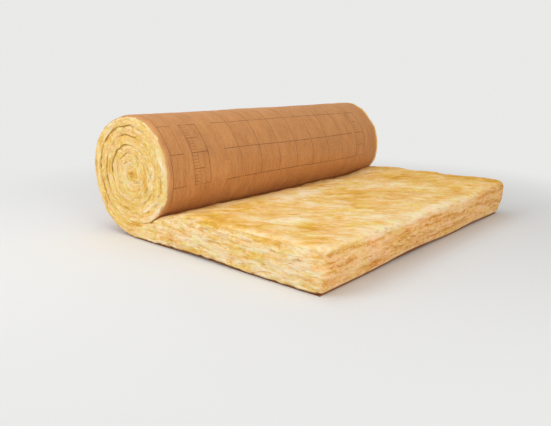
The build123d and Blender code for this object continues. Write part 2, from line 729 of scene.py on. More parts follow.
@dataclass(frozen=True)
class CutRelief:
    """Unevenness of the cut ends, the flat stretch's sides and the free end."""

    section: Section = Section()
    layers: float = 2.4 * MM
    lumps: float = 3.6 * MM
    fine: float = 1.3 * MM
    fissure: float = 3.0 * MM
    side_gain: float = 1.15  # the sides of the flat stretch are rougher than the roll's ends
    bulge: float = 3.0 * MM
    stagger: float = 1.6 * MM  # of the turns on the roll's ends
    layer_wave: Wave = Wave((0.045, 0.045, 0.016), 3)
    lump_wave: Wave = Wave((0.034, 0.034, 0.024), 2, (4.0, 0.0, 7.0))
    flake_wave: Wave = Wave((0.036, 0.036, 0.014), 2, (2.0, 0.0, 0.0))
    split_wave: Wave = Wave((0.042, 0.042, 0.0080), 2, (9.0, 0.0, 0.0))
    thread_wave: Wave = Wave((0.0115, 0.0115, 0.0070), 2, (0.0, 0.0, 3.0))
    split_from: Point2 = (0.24, 0.48)  # level of that wave at which a fissure opens
    calm: float = 0.045  # distance from the eye within which the ends are more even
    corner_x: Point2 = (0.42, 0.47)  # of the far corner, which is more even too
    corner_y: Point2 = (0.53, 0.59)

    def height(self, co: Vector, place: Vector) -> float:
        """Height of a cut face above its even shape.

        Args:
            co: Point of the even shape.
            place: The same point in the flat strip.

        Returns:
            The height, which is negative in a fissure.
        """
        flat = self.on_flat(co)
        side = self.layer_wave.at(*place)
        lumps, flakes = self.lump_wave.ridged(*co), self.flake_wave.ridged(*place)
        split = smoothstep(*self.split_from, self.split_wave.at(*place))
        layered = side * flat + (0.8 * self.round_noise(co) + 0.2 * side) * (1.0 - flat)
        height = self.layers * layered + self.fine * self.thread_wave.at(*co)
        height += self.lumps * (0.30 * lumps + 0.25 * flakes * (0.5 + 0.5 * flat))
        height -= self.fissure * split * (0.15 + 0.85 * flat)
        calm = smoothstep(0.0, self.calm, math.dist((co.x, co.z), self.section.eye))
        corner = smoothstep(*self.corner_y, co.y) * smoothstep(*self.corner_x, co.x)
        height *= (0.4 + 0.6 * calm) * (1.0 + (self.side_gain - 1.0) * flat) * (1.0 - 0.7 * corner)
        return height + self.shape(place.x, co, flat)

    def on_flat(self, co: Vector) -> float:
        """1 on the flat stretch and 0 on the roll.

        Args:
            co: Point of the even shape.

        Returns:
            The share.
        """
        start = self.section.eye[0]
        low = 1.0 - smoothstep(self.section.loft, self.section.loft * 1.15, co.z)
        return low * smoothstep(start - 0.02, start + 0.14, co.x)

    def round_noise(self, co: Vector) -> float:
        """Unevenness that runs round the eye, unbroken where a seam is closed.

        Args:
            co: Point of the even shape.

        Returns:
            The unevenness, from about -1 to 1.
        """
        x, z = co.x - self.section.eye[0], co.z - self.section.eye[1]
        reach = math.hypot(x, z) + 1e-6
        return mottle(3.6 * x / reach, 3.6 * z / reach + co.y * 9.0, reach / 0.0095, 3)

    def shape(self, along: float, co: Vector, flat: float) -> float:
        """The bulge of the flat stretch's sides, and the stagger of the turns."""
        stagger = self.stagger * mottle(along / 0.50, 12.0, co.y * 3.0, 2)
        return self.bulge * bell(co.z, 0.060, 0.035) * flat + stagger * (1.0 - flat)


@dataclass(frozen=True)
class LoftRelief:
    """Unevenness of the flat stretch's top."""

    section: Section = Section()
    swell: float = 4.5 * MM
    tufts: float = 3.0 * MM
    fine: float = 1.3 * MM
    grain: float = 38.0  # degrees from X to the way the tufts lie
    swell_wave: Wave = Wave((0.20, 0.16, 1.0), 2, (0.0, 0.0, 2.0))  # along and across that way
    tuft_wave: Wave = Wave((0.062, 0.036, 1.0), 3, (5.0, 0.0, 1.0))
    fine_wave: Wave = Wave((0.020, 0.012, 1.0), 3, (0.0, 0.0, 4.0))

    def height(self, co: Vector) -> float:
        """Height of the top above its even shape, which is nothing below the roll.

        Args:
            co: Point of the even shape.

        Returns:
            The height.
        """
        start = self.section.wedge[0]
        clear = smoothstep(start - 0.03, start + 0.05, co.x)
        turn = math.radians(self.grain)
        lie = co.x * math.cos(turn) + co.y * math.sin(turn)
        side = co.y * math.cos(turn) - co.x * math.sin(turn)
        tufts = self.tufts * self.tuft_wave.at(lie, side)
        fine = self.fine * self.fine_wave.at(lie, side)
        return clear * (self.swell * self.swell_wave.at(lie, side) + tufts + fine)


@dataclass
class WoolBlanket:
    """The wool strip, from its wound inner end to its free end."""

    strip: Strip
    sway: Sway
    edges: Edges
    facets: Facets = Facets()
    cut_relief: CutRelief = CutRelief()
    loft_relief: LoftRelief = LoftRelief()
    tones: Tones = Tones()
    far_bulge: float = 2.0 * MM  # of the bare margin past the facing
    tuck_below_paper: float = 12.0 * MM
    # height of the paler band painted above the facing as light bounced from the floor
    floor_bounce_height: float = 14.0 * MM
    lift: float = 12.0 * MM  # most that the lower edges stand off the floor
    lean: float = 0.09  # stretch before the free end that leans with its face
    floor_gap: float = 0.3 * MM
    relief_unit: float = 5.0 * MM  # height that the finish takes as 1
    held_above: Point2 = (0.004, 0.016)  # height above the paper up to which it holds the wool
    held_depth: Point2 = (0.002, 0.010)  # distance from the cut ends at which it starts to
    end_depth: Point2 = (0.002, 0.005)  # reach of the roll's ends, inside which nothing shows

    def build(self) -> Object:
        """Makes the blanket as a closed mesh, winds it and roughens it.

        Returns:
            The blanket, without its material.
        """
        mesh = bmesh.new()
        self.make_strip(mesh)
        self.divide_width(mesh)
        bmesh.ops.recalc_face_normals(mesh, faces=mesh.faces[:])
        self.wind(mesh)
        mesh.normal_update()
        self.roughen(mesh)
        return finished(mesh, "glass_wool")

    def make_strip(self, mesh: BMesh) -> None:
        """Makes the flat strip as a box, divided into stations along it and rows up it.

        Args:
            mesh: An empty mesh.
        """
        turns = self.strip.stations(self.facets.spacing, self.facets.per_turn)
        last, rows = len(turns) - 1, self.facets.rows
        bmesh.ops.create_cube(mesh, size=1.0)
        bmesh.ops.translate(mesh, vec=(0.5, 0.5, 0.5), verts=mesh.verts[:])
        for axis, parts in ((0, last), (2, rows)):
            split = [edge for edge in mesh.edges if edge_span(edge, axis) > 0.5]
            bmesh.ops.subdivide_edges(mesh, edges=split, cuts=parts - 1, use_grid_fill=True)
        for vert in mesh.verts:
            vert.co.x = turns[round(vert.co.x * last)]
            vert.co.z = round(vert.co.z * rows) / rows
        flat = self.strip.section.floor_turn - 1e-6
        upright = [edge for edge in mesh.edges
                   if edge_span(edge, 2) > 0.5 / rows and edge.verts[0].co.x > flat]
        bmesh.ops.subdivide_edges(mesh, edges=upright, cuts=1, use_grid_fill=True)

    def divide_width(self, mesh: BMesh) -> None:
        """Adds columns near both cut ends, and all over the top and front of the flat stretch.

        Args:
            mesh: The flat strip's mesh.
        """
        columns = self.columns()
        long_edges = [edge for edge in mesh.edges if edge_span(edge) > 0.5]
        bmesh.ops.subdivide_edges(mesh, edges=long_edges, cuts=len(columns) - 2, use_grid_fill=True)
        for vert in mesh.verts:
            vert.co.y = columns[round(vert.co.y * (len(columns) - 1))]
        middle = self.strip.width - 2.0 * self.facets.rim_columns[-1]
        shown = [edge for edge in mesh.edges if edge_span(edge) > 0.5 and self.shows(edge)]
        cuts = round(middle / self.facets.flat_spacing) - 1
        bmesh.ops.subdivide_edges(mesh, edges=shown, cuts=cuts, use_grid_fill=True)

    def columns(self) -> list[float]:
        """Distances of the columns from the near cut end."""
        near = list(self.facets.rim_columns)
        return near + [self.strip.width - column for column in reversed(near)]

    def shows(self, edge: BMEdge) -> bool:
        """Tells whether an edge across the strip lies on the flat stretch's top or front.

        Args:
            edge: An edge of the flat strip.

        Returns:
            Whether it lies there.
        """
        section = self.strip.section
        on_top = all(v.co.z > 0.999 and v.co.x > section.floor_turn - 1e-6 for v in edge.verts)
        on_front = all(v.co.x > section.last_turn - 1e-6 for v in edge.verts)
        return on_top or on_front

    def wind(self, mesh: BMesh) -> None:
        """Moves each vertex from its place in the flat strip to its place on the object.

        Args:
            mesh: The flat strip's mesh.
        """
        place = mesh.verts.layers.float_vector.new("strip")
        crease, bare = (mesh.verts.layers.float.new(name) for name in ("crease", "bare"))
        for vert in mesh.verts:
            turn, across, height = vert.co
            thickness = self.strip.section.thickness(turn)
            vert[place] = Vector((self.strip.length_at(turn), across, height * thickness))
            # crease: painted shade of the seams and the eye, for the finish
            vert[crease] = self.seam_shade(turn, across, height)
            vert[bare] = self.bareness(turn, across, height * thickness)
            vert.co = self.wound_place(turn, across, height)

    def seam_shade(self, turn: float, across: float, height: float) -> float:
        """How deep in a seam or in the eye a place lies, for the finish to paint as shade.

        Args:
            turn: Place along the strip.
            across: Distance from the near cut end.
            height: Share of the thickness above the facing.

        Returns:
            The depth, from 0 to 1.
        """
        section, seams = self.strip.section, self.edges.seams
        if turn > section.floor_turn:
            return 0.0
        far_side = across > self.strip.width / 2.0
        depth = min(across, self.strip.width - across)
        thickness = section.thickness(turn)
        outer = seams.shade(*seams.gape(turn, far_side), height * thickness)
        outer *= 1.0 - self.edges.exposed(turn)
        inner = seams.shade(*seams.gape(turn - 1.0, far_side), (1.0 - height) * thickness)
        inner *= 1.0 - smoothstep(section.floor_turn - 0.2, section.floor_turn, turn)
        return max(outer, inner) * (1.0 - smoothstep(0.004, 0.02, depth))

    def bareness(self, turn: float, across: float, above: float) -> float:
        """0 where the paper holds the wool even, and 1 well away from it.

        Args:
            turn: Place along the strip.
            across: Distance from the near cut end.
            above: Height above the facing.

        Returns:
            The share by which the wool's relief shows.
        """
        depth = min(across, self.strip.width - across)
        held = self.edges.exposed(turn) * (1.0 - smoothstep(*self.held_above, above))
        held *= smoothstep(*self.held_depth, depth)
        inside = smoothstep(*self.end_depth, depth) * float(turn < self.strip.section.floor_turn)
        return 1.0 - max(held, inside)

    def wound_place(self, turn: float, across: float, height: float) -> Vector:
        """Point of the wool for a place in the strip.

        Args:
            turn: Place along the strip.
            across: Distance from the near cut end.
            height: Share of the thickness above the facing.

        Returns:
            The point, with its edges rounded.
        """
        section, edges, seams = self.strip.section, self.edges, self.edges.seams
        thickness = section.thickness(turn)
        far_side = across > self.strip.width / 2.0
        depth = self.strip.width - across if far_side else across
        front = section.last_turn - turn
        rim = max(1.0 - depth / seams.lip_depth, 0.0) * seams.lip
        if height > 0.5:
            above = (1.0 - height) * thickness
            depth, above = round_corner(depth, above, edges.wool_round(turn, far_side))
            front, above = round_corner(front, above, edges.front_top)
            if turn < section.floor_turn:
                share = max(1.0 - above / (seams.lip_share * thickness), 0.0)
                above -= rim * share * seams.closed(seams.gape(turn - 1.0, far_side)[0])
            below = thickness - above
        else:
            below = height * thickness
            depth, below = round_corner(depth, below, edges.facing_round(turn, far_side))
            front, below = round_corner(front, below, edges.flat_bottom)
            share = max(1.0 - below / (seams.lip_share * thickness), 0.0)
            exposed = edges.exposed(turn)
            below -= rim * share * (1.0 - exposed) * seams.closed(seams.gape(turn, far_side)[0])
            if far_side:
                below -= self.far_bulge * share * exposed * smoothstep(0.013, 0.008, depth)
        front, depth = round_corner(front, depth, edges.front_side)
        if depth > 0.02 and section.turns - 0.8 < turn < section.floor_turn:
            below = max(below, self.tuck_below_paper * smoothstep(0.02, 0.03, depth))
        return self.point(section.last_turn - front, depth, below / thickness, far_side)

    def point(self, turn: float, depth: float, height: float, far_side: bool) -> Vector:
        """Point at a share of the thickness, with the roll's sway and the lift of the edges.

        Args:
            turn: Place along the strip.
            depth: Distance from the nearer cut end.
            height: Share of the thickness above the facing.
            far_side: Whether the far cut end is meant.

        Returns:
            The point.
        """
        section = self.strip.section
        low, high = section.facing_side(turn), section.wool_side(turn)
        x = low[0] + (high[0] - low[0]) * height
        z = low[1] + (high[1] - low[1]) * height
        lean_start = section.free_end - self.lean
        if turn > section.floor_turn and x > lean_start:
            share = (x - lean_start) / (section.free_end - lean_start)
            x = lean_start + (section.front_face(z) - lean_start) * share
        y = self.strip.near_end + (self.strip.width - depth if far_side else depth)
        across, upright = self.sway.shift(x, y, z, self.sway.inner_share(turn - height))
        if turn > section.floor_turn:
            z += (section.crowded_top(x, y) + section.far_swell(x, y)) * height
            z += edge_lift(section, x, y, self.lift) * (1.0 - height) ** 2
        return Vector((x + across, y, z + upright))

    def roughen(self, mesh: BMesh) -> None:
        """Moves the vertices of the cut and lofted faces along their normals.

        Args:
            mesh: The wound mesh, with its normals.
        """
        place = mesh.verts.layers.float_vector["strip"]
        bare = mesh.verts.layers.float["bare"]
        relief, cut_face, tone, front, floor_bounce, ragged, hem = (
            mesh.verts.layers.float.new(name)
            for name in ("relief", "cut", "tone", "front", "floor_bounce", "ragged", "hem"))
        moves = []
        for vert in mesh.verts:
            cut, top = self.cut_share(vert), self.top_share(vert)
            height = 0.0
            if cut > 0.05:
                height += cut * self.cut_relief.height(vert.co, vert[place])
            if top > 0.05:
                height += top * (1.0 - 0.6 * cut) * self.loft_relief.height(vert.co)
            height *= vert[bare]
            vert[relief] = min(max(height / self.relief_unit, -1.0), 1.0)
            vert[cut_face] = smoothstep(0.25, 0.75, cut)
            vert[tone] = self.tones.tone(vert.co, vert.normal)
            vert[front] = smoothstep(0.40, 0.98, vert.normal.x) if self.at_front(vert) else 0.0
            # paler band above the facing: painted light bounced from the floor
            vert[floor_bounce] = vert[cut_face] * self.floor_bounce_share(vert.co, vert[place].z)
            vert[ragged] = vert[cut_face] * self.cut_relief.on_flat(vert.co)
            vert[hem] = self.hem_share(vert.co, vert[place].z)
            moves.append(vert.normal * height)
        for vert, move in zip(mesh.verts, moves):
            vert.co += move
            vert.co.z = max(vert.co.z, self.floor_gap)

    def cut_share(self, vert: BMVert) -> float:
        """How squarely a vertex lies on a cut face."""
        return max(abs(vert.normal.y), vert.normal.x if self.at_front(vert) else 0.0)

    def floor_bounce_share(self, co: Vector, above: float) -> float:
        """How much painted light bounced from the floor a place gets, in a band above the flat
        stretch's facing.
        """
        top = self.floor_bounce_height * (1.0 + 0.4 * mottle(co.x / 0.05, co.y / 0.05, 0.0, 2))
        return self.cut_relief.on_flat(co) * (1.0 - smoothstep(0.7 * top, 1.2 * top, above))

    def hem_share(self, co: Vector, above: float) -> float:
        """How much a place lies in the shade between the wool and its facing on the floor.

        Args:
            co: Point of the even shape.
            above: Height above the facing.

        Returns:
            The share.
        """
        start = self.strip.section.eye[0]
        on_floor = smoothstep(start - 0.05, start, co.x) * (1.0 - smoothstep(0.016, 0.024, co.z))
        return on_floor * (1.0 - smoothstep(0.002, 0.009, above))

    def at_front(self, vert: BMVert) -> bool:
        """Tells whether a vertex lies at the free end's face."""
        return vert.co.x > self.strip.section.free_end - 0.02

    def top_share(self, vert: BMVert) -> float:
        """How squarely a vertex lies on the flat stretch's top."""
        past_roll = vert.co.x > self.strip.section.wedge[0] - 0.03 and vert.co.z > 0.05
        return max(vert.normal.z, 0.0) if past_roll else 0.0


def edge_span(edge: BMEdge, axis: int = 1) -> float:
    """Length of an edge along an axis, which is the one along the roll where none is named."""
    return abs(edge.verts[0].co[axis] - edge.verts[1].co[axis])


def edge_lift(section: Section, x: float, y: float, most: float) -> float:
    """Height by which the flat stretch's lower edges stand off the floor.

    Args:
        section: The strip's section.
        x: Place across the roll.
        y: Place along the roll.
        most: Greatest height.

    Returns:
        The height.
    """
    near_front = smoothstep(section.free_end - 0.13, section.free_end, x)
    front = near_front * (0.75 * bell(y, -0.12, 0.17) + 0.35 * bell(y, 0.33, 0.12))
    side = 0.45 * bell(x, 0.03, 0.13) * bell(y, -0.60, 0.11)
    return most * (front + side)


@dataclass
class LooseFibres:
    """Stray fibres that stand off the wool, most of them along its edges."""

    wool: Object
    count: int = 2600
    length: Point2 = (7.0 * MM, 20.0 * MM)
    thickness: float = 0.40 * MM
    root: float = 1.0 * MM  # depth at which a fibre starts
    rise: Point2 = (0.15, 0.75)  # share of a fibre's way that leads off the surface
    curl: float = 0.45
    joints: int = 4
    even_weight: float = 0.06  # chance of a place away from edges and seams, beside 1 on an edge
    seam_weight: float = 0.3
    seed: int = 41

    def build(self) -> Object:
        """Plants copies of one fibre on the wool and joins them.

        Returns:
            The fibres as one piece, without its material.
        """
        source = random.Random(self.seed)
        fibre = self.make_fibre()
        mesh = bmesh.new()
        for vert in self.choose(source):
            self.plant(mesh, fibre, vert, source)
        bpy.data.meshes.remove(fibre)
        return finished(mesh, "loose_fibres")

    def make_fibre(self) -> Mesh:
        """Makes one straight fibre of length and thickness 1, from the origin along Z.

        Returns:
            The fibre's mesh.
        """
        mesh = bmesh.new()
        bmesh.ops.create_cone(mesh, cap_ends=True, segments=3, radius1=0.5, radius2=0.2, depth=1.0)
        bmesh.ops.translate(mesh, vec=(0.0, 0.0, 0.5), verts=mesh.verts[:])
        sides = [edge for edge in mesh.edges if edge_span(edge, 2) > 0.5]
        bmesh.ops.subdivide_edges(mesh, edges=sides, cuts=self.joints)
        data = bpy.data.meshes.new("fibre")
        mesh.to_mesh(data)
        mesh.free()
        return data

    def choose(self, source: random.Random) -> list[MeshVertex]:
        """Picks places on the wool's open faces, with most of them on its rounded edges.

        Args:
            source: The seeded source of chance.

        Returns:
            One vertex of the wool for each fibre.
        """
        data = self.wool.data
        bare, cut, crease = (data.attributes[name].data for name in ("bare", "cut", "crease"))
        places, weights = [], []
        for vert in data.vertices:
            share = cut[vert.index].value
            top = vert.normal.z > 0.5 and vert.co.z > 0.08
            if bare[vert.index].value > 0.5 and (share > 0.05 or top):
                places.append(vert)
                edge = 1.0 - abs(2.0 * share - 1.0)
                in_seam = self.seam_weight * crease[vert.index].value
                weights.append(self.even_weight + edge + in_seam)
        return source.choices(places, weights, k=self.count)

    def plant(self, mesh: BMesh, fibre: Mesh, vert: MeshVertex, source: random.Random) -> None:
        """Adds one fibre that leaves the wool at a slant and curls.

        Args:
            mesh: The mesh that gathers the fibres.
            fibre: One straight fibre.
            vert: Place on the wool where it starts.
            source: The seeded source of chance.
        """
        first = len(mesh.verts)
        mesh.from_mesh(fibre)
        mesh.verts.ensure_lookup_table()
        length = source.uniform(*self.length)
        way = Vector((source.gauss(0.0, 1.0), source.gauss(0.0, 1.0), source.gauss(0.0, 0.6)))
        flat = (way - way.project(vert.normal)).normalized()
        course = (flat + vert.normal * source.uniform(*self.rise)).normalized()
        side = course.cross(vert.normal).normalized()
        bend = side * source.uniform(-self.curl, self.curl) - vert.normal * self.curl * 0.5
        start = vert.co - vert.normal * self.root
        for index in range(first, len(mesh.verts)):
            point = mesh.verts[index].co.copy()
            spine = start + length * (course * point.z + bend * point.z * point.z)
            around = side * point.x + vert.normal * point.y
            mesh.verts[index].co = spine + around * self.thickness
            mesh.verts[index].co.z = max(mesh.verts[index].co.z, 0.0)


@dataclass
class KraftFacing:
    """The paper glued to the outer side of the strip."""

    strip: Strip
    sway: Sway
    edges: Edges
    near_margin: float = 4.0 * MM
    far_margin: float = 13.0 * MM
    sheet: float = 0.5 * MM
    spacing: float = 11.0 * MM
    per_turn: int = 40
    column_spacing: float = 6.0 * MM
    rim_columns: tuple[float, ...] = (0.0, 0.003, 0.006, 0.010, 0.016, 0.026)
    buckle: float = 1.2 * MM
    buckle_wave: Wave = Wave((0.26, 0.14, 1.0), 2, (0.0, 0.0, 5.0))
    crease: float = 0.9 * MM
    crease_wave: Wave = Wave((0.30, 0.040, 1.0), 2, (0.0, 0.0, 1.0))  # whose zeros are creases
    crease_width: float = 0.22
    wander: float = 1.1 * MM  # of the paper's edges on the outer turn
    lift: float = 12.0 * MM

    def build(self) -> Object:
        """Makes the facing as a grid, winds it and gives it its thickness.

        Returns:
            The facing, without its material.
        """
        turns = self.strip.stations(self.spacing, self.per_turn)
        mesh = bmesh.new()
        columns = self.columns()
        rows, last = len(columns) - 1, len(turns) - 1
        bmesh.ops.create_grid(mesh, x_segments=last, y_segments=rows, size=0.5)
        for vert in mesh.verts:
            station = round((vert.co.x + 0.5) * last)
            column = round((vert.co.y + 0.5) * rows)
            vert.co = (turns[station], columns[column], 0.0)
        shown = [edge for edge in mesh.edges if edge_span(edge) > 0.5 and self.shows(edge)]
        cuts = round((columns[-1] - columns[0]) / self.column_spacing) - 1
        bmesh.ops.subdivide_edges(mesh, edges=shown, cuts=cuts, use_grid_fill=True)
        self.lay_out(mesh)
        bmesh.ops.reverse_faces(mesh, faces=mesh.faces[:])
        piece = finished(mesh, "kraft_paper")
        self.thicken(piece)
        return piece

    def columns(self) -> list[float]:
        """Distances of the columns from the near cut end of the wool.

        Returns:
            The distances, closer together near both edges.
        """
        near = [self.near_margin + column for column in self.rim_columns]
        far_edge = self.strip.width - self.far_margin
        return near + [far_edge - column for column in reversed(self.rim_columns)]

    def shows(self, edge: BMEdge) -> bool:
        """Tells whether an edge across the paper lies on the outer turn or near the free end.

        Args:
            edge: An edge of the flat sheet.

        Returns:
            Whether it lies there.
        """
        section = self.strip.section
        outer = section.turns - 0.80 < edge.verts[0].co.x < section.floor_turn + 0.01
        return outer or edge.verts[0].co.x > section.last_turn - 0.14

    def lay_out(self, mesh: BMesh) -> None:
        """Notes each place in the flat sheet as a map in metres, and winds the sheet.

        Args:
            mesh: The flat sheet's mesh.
        """
        layout = mesh.loops.layers.uv.new("layout")
        tucked = mesh.verts.layers.float.new("tucked")
        for face in mesh.faces:
            for loop in face.loops:
                turn, across, _ = loop.vert.co
                loop[layout].uv = (self.strip.length_at(turn), across)
        for vert in mesh.verts:
            turn, across, _ = vert.co
            vert[tucked] = self.tucked(turn, across)
            vert.co = self.wound_place(turn, across)

    def tucked(self, turn: float, across: float) -> float:
        """1 along the sheet's edges on the floor, where the wool hangs over them.

        Args:
            turn: Place along the strip.
            across: Distance from the near cut end.

        Returns:
            The share.
        """
        columns = self.columns()
        inside = min(across - columns[0], columns[-1] - across)
        inside = min(inside, self.strip.section.last_turn - turn)
        return self.edges.grounded(turn) * (1.0 - smoothstep(0.006, 0.014, inside))

    def wound_place(self, turn: float, across: float) -> Vector:
        """Point of the facing for a place in the flat sheet.

        Args:
            turn: Place along the strip.
            across: Distance from the near cut end.

        Returns:
            The point on its outer side.
        """
        section = self.strip.section
        y = self.strip.near_end + across
        if turn >= section.floor_turn:
            x = section.facing_side(turn)[0]
            return Vector((x, y, edge_lift(section, x, y, self.lift)))
        far_side = across > self.strip.width / 2.0
        depth = self.strip.width - across if far_side else across
        exposed = self.edges.exposed(turn) * (1.0 - self.edges.grounded(turn))
        radius = self.edges.facing_round(turn, far_side)
        short = max(radius - depth, 0.0)
        inset = radius - math.sqrt(radius * radius - short * short)
        relief = self.relief(turn, across) * exposed * smoothstep(0.004, 0.05, depth) - inset
        y += self.wander * exposed * mottle(turn * 9.0, across, 3.0, 2)
        x, z = section.wound_point(turn, section.paper)
        outward = self.outward(turn)
        x, z = x + outward[0] * relief, z + outward[1] * relief
        side, upright = self.sway.shift(x, y, z, self.sway.inner_share(turn))
        return Vector((x + side, y, z + upright))

    def outward(self, turn: float) -> Point2:
        """Outward direction of the winding at a turn.

        Args:
            turn: Place along the strip.

        Returns:
            The direction's X and Z, of length 1.
        """
        here, eye = self.strip.section.wound_point(turn, 0.0), self.strip.section.eye
        reach = math.dist(here, eye)
        return (here[0] - eye[0]) / reach, (here[1] - eye[1]) / reach

    def relief(self, turn: float, across: float) -> float:
        """Height of the paper's buckles and of the creases that run round the roll.

        Args:
            turn: Place along the strip.
            across: Distance from the near cut end.

        Returns:
            The height, which is negative in a crease.
        """
        along = self.strip.length_at(turn)
        away = smoothstep(0.0, self.crease_width, abs(self.crease_wave.at(along, across)))
        return self.buckle * self.buckle_wave.at(along, across) - self.crease * (1.0 - away)

    def thicken(self, piece: Object) -> None:
        """Gives the sheet its thickness, towards the wool.

        Args:
            piece: The wound sheet.
        """
        solidify = piece.modifiers.new("thickness", "SOLIDIFY")
        solidify.thickness = self.sheet
        solidify.offset = -1.0


def link(piece: Object) -> Object:
    """Adds an object to the scene and returns it."""
    bpy.context.scene.collection.objects.link(piece)
    return piece


def finished(mesh: BMesh, name: str) -> Object:
    """Turns a bmesh into a smooth piece of the scene.

    Args:
        mesh: The finished bmesh, which is freed.
        name: Name of the piece.

    Returns:
        The piece.
    """
    data = bpy.data.meshes.new(name)
    mesh.to_mesh(data)
    mesh.free()
    data.shade_smooth()
    return link(bpy.data.objects.new(name, data))


@dataclass(frozen=True)
class Octave:
    """One noise of a pattern."""

    scale: Point3  # features in a metre along, across and through the strip
    share: float  # of the pattern's height
    detail: float
    roughness: float
    distortion: float


class Nodes:
    """The node graph of a material or a world, with short calls for the nodes it needs."""

    def __init__(self, tree: bpy.types.NodeTree) -> None:
        """Takes the graph as Blender makes it."""
        self.tree = tree

    def node(self, kind: str, **settings: object) -> bpy.types.Node:
        """Adds a node and sets its properties.

        Args:
            kind: Type of the node.
            **settings: Its properties by name.

        Returns:
            The node.
        """
        made = self.tree.nodes.new(kind)
        for name, value in settings.items():
            setattr(made, name, value)
        return made

    def feed(self, target: Socket, source: object) -> None:
        """Links a socket to a source, or sets it where the source is a plain value.

        Args:
            target: The socket.
            source: Another socket, or a value.
        """
        if isinstance(source, Socket):
            self.tree.links.new(source, target)
        else:
            target.default_value = source

    def fill(self, node: bpy.types.Node, inputs: dict[str | int, object]) -> None:
        """Feeds a node's inputs, each by its name or number."""
        for name, source in inputs.items():
            self.feed(node.inputs[name], source)

    def attribute(self, name: str, output: str = "Fac") -> Socket:
        """Reads an attribute of the mesh."""
        return self.node("ShaderNodeAttribute", attribute_name=name).outputs[output]

    def scaled(self, vector: Socket, scale: Point3) -> Socket:
        """Stretches a pattern's coordinates.

        Args:
            vector: The coordinates.
            scale: Features in a metre along each axis.

        Returns:
            The stretched coordinates.
        """
        mapping = self.node("ShaderNodeMapping")
        self.fill(mapping, {"Vector": vector, "Scale": scale})
        return mapping.outputs["Vector"]

    def turned(self, vector: Socket, degrees: float) -> Socket:
        """Turns a pattern's coordinates about Z.

        Args:
            vector: The coordinates.
            degrees: Angle by which they turn.

        Returns:
            The turned coordinates.
        """
        mapping = self.node("ShaderNodeMapping")
        self.fill(mapping, {"Vector": vector, "Rotation": (0.0, 0.0, math.radians(degrees))})
        return mapping.outputs["Vector"]

    def noise(self, vector: Socket, scale: Point3, detail: float = 3.0,
              roughness: float = 0.55, distortion: float = 0.0) -> Socket:
        """Noise in stretched coordinates, from 0 to 1.

        Args:
            vector: The coordinates.
            scale: Features in a metre along each axis.
            detail: Number of finer noises within it.
            roughness: Weight of those.
            distortion: How far the pattern is warped.

        Returns:
            The noise.
        """
        made = self.node("ShaderNodeTexNoise")
        self.fill(made, {"Vector": self.scaled(vector, scale), "Scale": 1.0, "Detail": detail,
                         "Roughness": roughness, "Distortion": distortion})
        return made.outputs["Fac"]

    def math(self, operation: str, *values: object) -> Socket:
        """Result of a math node on sockets or numbers.

        Args:
            operation: Name of the operation.
            *values: What goes into the node, in order.

        Returns:
            The result.
        """
        made = self.node("ShaderNodeMath", operation=operation)
        self.fill(made, dict(enumerate(values)))
        return made.outputs[0]

    def remap(self, value: Socket, low: float, high: float,
              start: float = 0.0, end: float = 1.0) -> Socket:
        """Smooth step from start, where the value is low, to end, where it is high.

        Args:
            value: The value.
            low: Value at the start of the step.
            high: Value at its end.
            start: Result at the start.
            end: Result at the end.

        Returns:
            The result.
        """
        made = self.node("ShaderNodeMapRange", interpolation_type="SMOOTHSTEP")
        self.fill(made, {"Value": value, "From Min": low, "From Max": high,
                         "To Min": start, "To Max": end})
        return made.outputs["Result"]

    def between(self, factor: Socket, first: Socket, second: Socket) -> Socket:
        """Value between two others."""
        return self.math("MULTIPLY_ADD", self.math("SUBTRACT", second, first), factor, first)

    def mix(self, first: object, second: object, share: object, strength: float = 1.0,
            blend: Blend = Blend.MIX) -> Socket:
        """Colour with another mixed into it.

        Args:
            first: The colour.
            second: The other colour.
            share: How much of the other goes in.
            strength: Most that goes in.
            blend: Whether it is mixed in or tints the first.

        Returns:
            The new colour.
        """
        if strength != 1.0:
            share = self.math("MULTIPLY", share, strength)
        made = self.node("ShaderNodeMix", data_type="RGBA", blend_type=blend.value)
        for index, item in ((0, share), (6, first), (7, second)):
            self.feed(made.inputs[index], (*item, 1.0) if isinstance(item, tuple) else item)
        return made.outputs[2]

    def plus(self, total: object, *parts: tuple[Socket, float]) -> Socket:
        """Value with others added to it, each taken by its weight.

        Args:
            total: The value.
            *parts: The others, each with its weight.

        Returns:
            The sum.
        """
        for value, weight in parts:
            total = self.math("MULTIPLY_ADD", value, weight, total)
        return total

    def stacked(self, vector: Socket, octaves: tuple[Octave, ...]) -> Socket:
        """Sum of noises, each taken by its share.

        Args:
            vector: The coordinates.
            octaves: The noises.

        Returns:
            The sum, from 0 to 1.
        """
        first, *others = [
            (self.noise(vector, octave.scale, octave.detail, octave.roughness, octave.distortion),
             octave.share) for octave in octaves]
        return self.plus(self.math("MULTIPLY", *first), *others)

    def from_middle(self, value: Socket) -> Socket:
        """Distance of a value from 0.5."""
        return self.math("ABSOLUTE", self.math("SUBTRACT", value, 0.5))

    def band(self, value: Socket, low: float, high: float) -> Socket:
        """1 where a value lies between two bounds."""
        return self.math("COMPARE", value, (low + high) / 2.0, (high - low) / 2.0)

    def limited(self, mask: Socket, value: Socket, bounds: Point2) -> Socket:
        """A mask that only shows where a value lies between two bounds."""
        return self.math("MULTIPLY", mask, self.band(value, *bounds))

    def line_at(self, value: Socket, place: float, width: float) -> Socket:
        """1 on a single line."""
        return self.band(value, place - width / 2.0, place + width / 2.0)

    def lines(self, value: Socket, pitch: float, start: float, width: float) -> Socket:
        """1 on evenly spaced lines.

        Args:
            value: Place across the lines.
            pitch: Distance between lines.
            start: Place of one of them.
            width: Width of each line.

        Returns:
            The mask.
        """
        shifted = self.math("ADD", value, pitch * 1.5 - start % pitch)
        within = self.math("FLOORED_MODULO", shifted, pitch)
        return self.math("COMPARE", within, pitch / 2.0, width / 2.0)

    def together(self, *masks: Socket) -> Socket:
        """1 where any of the masks shows."""
        return functools.reduce(lambda first, second: self.math("MAXIMUM", first, second), masks)

